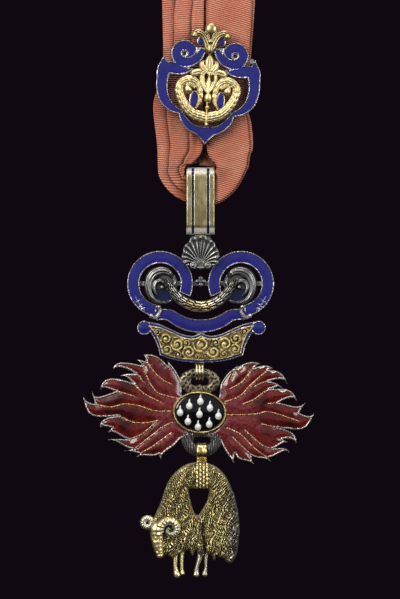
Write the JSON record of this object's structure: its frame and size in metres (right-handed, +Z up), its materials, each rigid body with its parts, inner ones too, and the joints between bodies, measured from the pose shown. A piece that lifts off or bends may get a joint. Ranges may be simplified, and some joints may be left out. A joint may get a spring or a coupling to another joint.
{
  "type": "order neck badge on its ribbon",
  "caption": "Neck badge of an order: folded coral ribbon, enamelled keeper, gold bail, blue scroll frame, relief plaque, red enamel flames and a hanging gilt ram.",
  "frame": {"origin": "inner face of the ribbon at the nape, midway", "axes": "+Z up, the badge faces -Y, +X to the right as seen from the front"},
  "size_m": [0.1236, 0.1359, 0.2018],
  "materials": {
    "silk": "satin",
    "gilt_silver": "polished",
    "gold": "polished",
    "silver": "polished",
    "blue_enamel": "gloss",
    "red_enamel": "gloss",
    "black_stone": "gloss",
    "white_enamel": "gloss"
  },
  "bodies": {
    "neck_hanger": {"ribbon": "silk", "keeper_frame": "gilt_silver", "keeper_enamel": "blue_enamel", "keeper_scrolls": "gold", "keeper_drops": "blue_enamel", "keeper_crest": "gold", "bail": "gold", "bail_enamel": "blue_enamel"},
    "frame": {"hinge_pin": "gilt_silver", "shell": "silver", "scroll_frame": "gilt_silver", "ring_enamel_left": "blue_enamel", "ring_enamel_right": "blue_enamel", "banner_enamel": "blue_enamel", "acanthus_left": "silver", "acanthus_right": "silver", "field_left": "blue_enamel", "field_right": "blue_enamel", "swag": "gold", "quatrefoil": "silver", "plaque_frame": "gilt_silver", "plaque_enamel": "blue_enamel", "plaque_relief": "gold", "wire_loop": "gold"},
    "flames": {"flames": "gold", "flame_enamel_left": "red_enamel", "flame_enamel_right": "red_enamel", "flint": "black_stone", "drop_1": "white_enamel", "drop_2": "white_enamel", "drop_3": "white_enamel", "drop_4": "white_enamel", "drop_5": "white_enamel", "drop_6": "white_enamel", "drop_7": "white_enamel", "drop_8": "white_enamel", "drop_9": "white_enamel"},
    "fleece": {"fleece_ring": "gold", "fleece": "gold"}
  },
  "joints": [
    {"name": "frame_swing", "type": "hinge", "parent": "neck_hanger", "child": "frame", "pos_m": [0, -0.1289, -0.12205], "axis": [1, 0, 0], "range_deg": [-12, 12]},
    {"name": "flames_swing", "type": "hinge", "parent": "frame", "child": "flames", "pos_m": [0, -0.1289, -0.15112], "axis": [1, 0, 0], "range_deg": [-40, 40]},
    {"name": "fleece_swing", "type": "hinge", "parent": "flames", "child": "fleece", "pos_m": [0, -0.1289, -0.16866], "axis": [1, 0, 0], "range_deg": [-40, 40]}
  ]
}
